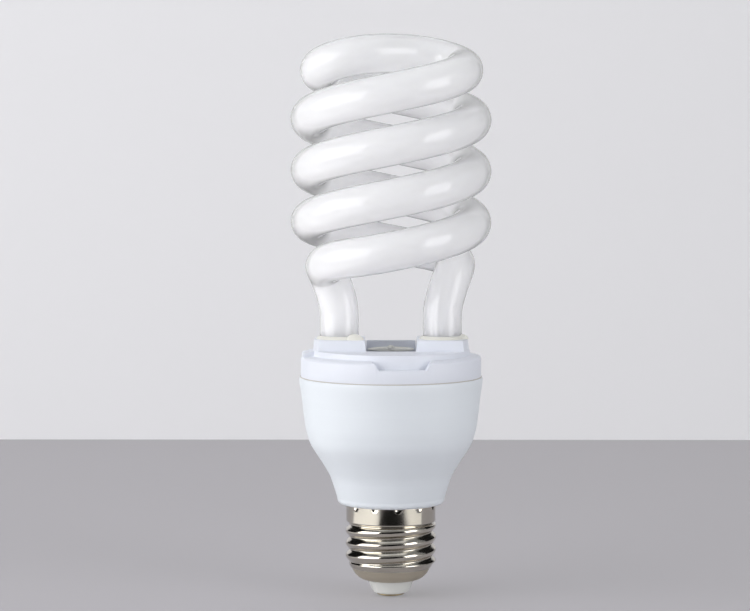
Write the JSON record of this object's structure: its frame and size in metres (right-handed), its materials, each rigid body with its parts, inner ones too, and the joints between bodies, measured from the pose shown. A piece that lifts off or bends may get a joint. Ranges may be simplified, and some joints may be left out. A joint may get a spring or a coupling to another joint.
{
  "type": "spiral energy saving bulb",
  "caption": "Compact fluorescent lamp with a double spiral glass tube, a moulded ballast housing and an E27 screw cap, with its electronic ballast inside.",
  "frame": {"origin": "centre of the lower face of the centre contact", "axes": "+Z along the bulb's axis, from the cap to the top of the spiral; +X through the right leg of the tube as the picture shows it; the picture looks along +Y"},
  "size_m": [0.0584, 0.0584, 0.1638],
  "materials": {
    "coated_glass": "glossy, white phosphor coating inside",
    "white_housing": "satin moulded",
    "nickel_shell": "nickel plated brass sheet",
    "white_insulator": "white vitrified",
    "contact_metal": "worn",
    "silicone": "cured silicone",
    "board_laminate": "paper laminate",
    "tinned_wire": "tinned",
    "ferrite": "sintered",
    "bobbin_plastic": "moulded",
    "copper_winding": "enamelled wire",
    "black_resin": "moulded",
    "capacitor_sleeve": "shrunk sleeve",
    "brown_resin": "dipped",
    "resistor_body": "lacquered",
    "wire_sleeve": "extruded"
  },
  "bodies": {
    "root": {"glass_spiral": "coated_glass", "upper_cover": "white_housing", "lower_housing": "white_housing", "screw_shell": "nickel_shell", "insulator": "white_insulator", "centre_contact": "contact_metal", "glue_bead_left": "silicone", "glue_bead_right": "silicone", "circuit_board": "board_laminate", "lamp_pins": "tinned_wire", "tube_leads_left": "tinned_wire", "tube_leads_right": "tinned_wire", "choke_core": "ferrite", "choke_bobbin": "bobbin_plastic", "choke_winding": "copper_winding", "toroid_core": "ferrite", "toroid_windings": "copper_winding", "transistor_a": "black_resin", "transistor_b": "black_resin", "smoothing_capacitor": "capacitor_sleeve", "resonance_capacitor": "brown_resin", "coupling_capacitor": "brown_resin", "snubber_capacitor": "brown_resin", "rectifier_diodes": "black_resin", "diac": "resistor_body", "resistors": "resistor_body", "fusible_resistor": "resistor_body", "live_lead": "wire_sleeve", "neutral_lead": "wire_sleeve"}
  },
  "joints": []
}
